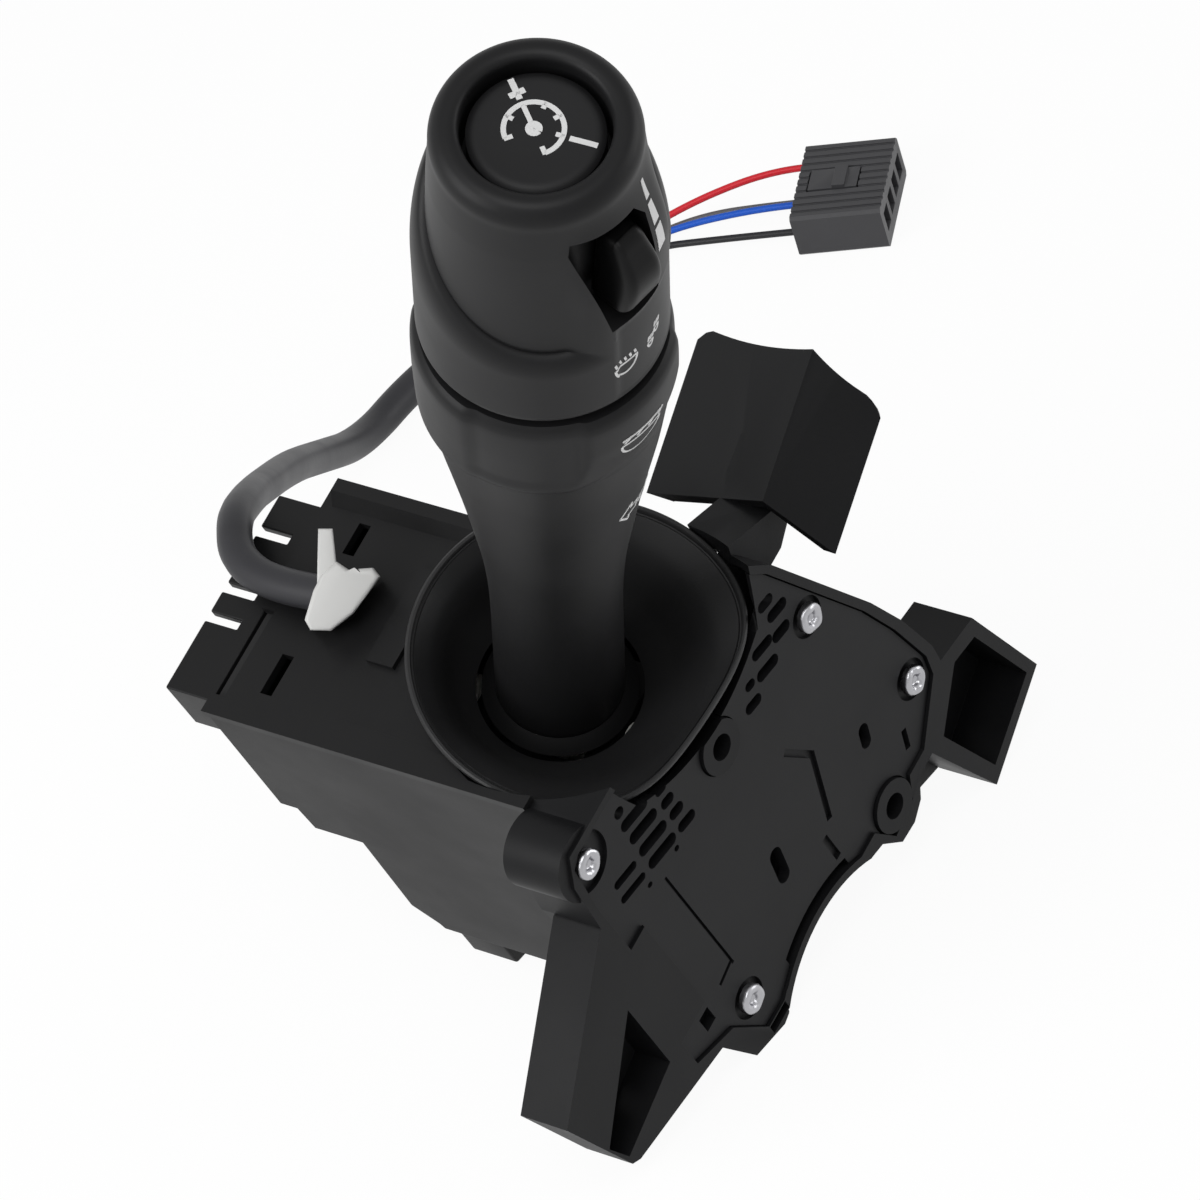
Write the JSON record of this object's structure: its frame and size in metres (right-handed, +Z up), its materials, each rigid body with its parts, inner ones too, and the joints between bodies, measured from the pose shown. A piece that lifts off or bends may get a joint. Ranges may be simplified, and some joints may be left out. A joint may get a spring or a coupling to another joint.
{
  "type": "combination stalk switch",
  "caption": "Steering column switch: a turnable lever with knob, ring, slider and end button rising from a funnel on a moulded bracket with housings, cable and plug.",
  "frame": {"origin": "bottom centre of the switch without its cable, on the surface it stands on", "axes": "+Z up, +X along the steering column towards the driver, +Y across the column towards the side socket"},
  "size_m": [0.2748, 0.3093, 0.2831],
  "materials": {
    "frame_plastic": "satin moulded",
    "housing_plastic": "matte moulded",
    "funnel_plastic": "fine matte grain",
    "lever_plastic": "fine satin grain",
    "natural_plastic": "natural acetal",
    "tie_nylon": "natural nylon",
    "board": "laminate",
    "rivet_metal": "pressed",
    "terminal_metal": "tinned",
    "pin_steel": "ground",
    "sheath_pvc": "satin",
    "wire_red": "satin",
    "wire_blue": "satin",
    "wire_grey": "satin",
    "wire_black": "satin"
  },
  "bodies": {
    "housing": {"bracket_frame": "frame_plastic", "front_cover": "frame_plastic", "cover_rivets": "rivet_metal", "main_housing": "housing_plastic", "housing_cover": "housing_plastic", "lower_housing": "housing_plastic", "harness_socket": "housing_plastic", "socket_terminals": "terminal_metal", "funnel_shroud": "funnel_plastic", "connector_hood": "frame_plastic", "cable_comb": "housing_plastic", "circuit_board": "board", "board_posts": "housing_plastic", "carrier_bushes": "natural_plastic", "detent_block": "natural_plastic", "cable_gland": "housing_plastic", "cable_tie": "tie_nylon", "wiring_sheath": "sheath_pvc", "wire_red": "wire_red", "wire_blue": "wire_blue", "wire_grey": "wire_grey", "wire_black": "wire_black", "plug_housing": "housing_plastic", "plug_latch": "housing_plastic"},
    "carrier": {"turn_carrier": "natural_plastic"},
    "lever": {"lever_pin": "pin_steel", "lever_stem": "lever_plastic", "dust_shield": "funnel_plastic"},
    "ring": {"fog_ring": "lever_plastic"},
    "knob": {"headlamp_knob": "lever_plastic"},
    "button": {"end_button": "lever_plastic"},
    "slider": {"cruise_slider": "lever_plastic"}
  },
  "joints": [
    {"name": "turn_signal", "type": "hinge", "parent": "housing", "child": "carrier", "pos_m": [-0.02109, -0.00971, 0.06402], "axis": [1, 0, 0], "range_deg": [-8, 8]},
    {"name": "beam_switch", "type": "hinge", "parent": "carrier", "child": "lever", "pos_m": [-0.02109, -0.00971, 0.06402], "axis": [0, 0.9511, 0.309], "range_deg": [-5, 6], "stiffness_Nm_per_rad": 12},
    {"name": "fog_lamp_turn", "type": "hinge", "parent": "lever", "child": "ring", "pos_m": [0.03774, -0.03768, 0.19581], "axis": [0.4002, -0.1903, 0.8965], "range_deg": [0, 30]},
    {"name": "headlamp_turn", "type": "hinge", "parent": "lever", "child": "knob", "pos_m": [0.05775, -0.0472, 0.24063], "axis": [0.4002, -0.1903, 0.8965], "range_deg": [0, 45]},
    {"name": "button_press", "type": "slide", "parent": "knob", "child": "button", "axis": [-0.4002, 0.1903, -0.8965], "range_m": [0, 0.0015], "stiffness_N_per_m": 900, "springref_m": -0.001},
    {"name": "cruise_slide", "type": "slide", "parent": "knob", "child": "slider", "axis": [0.4002, -0.1903, 0.8965], "range_m": [-0.003, 0.003], "stiffness_N_per_m": 600}
  ]
}
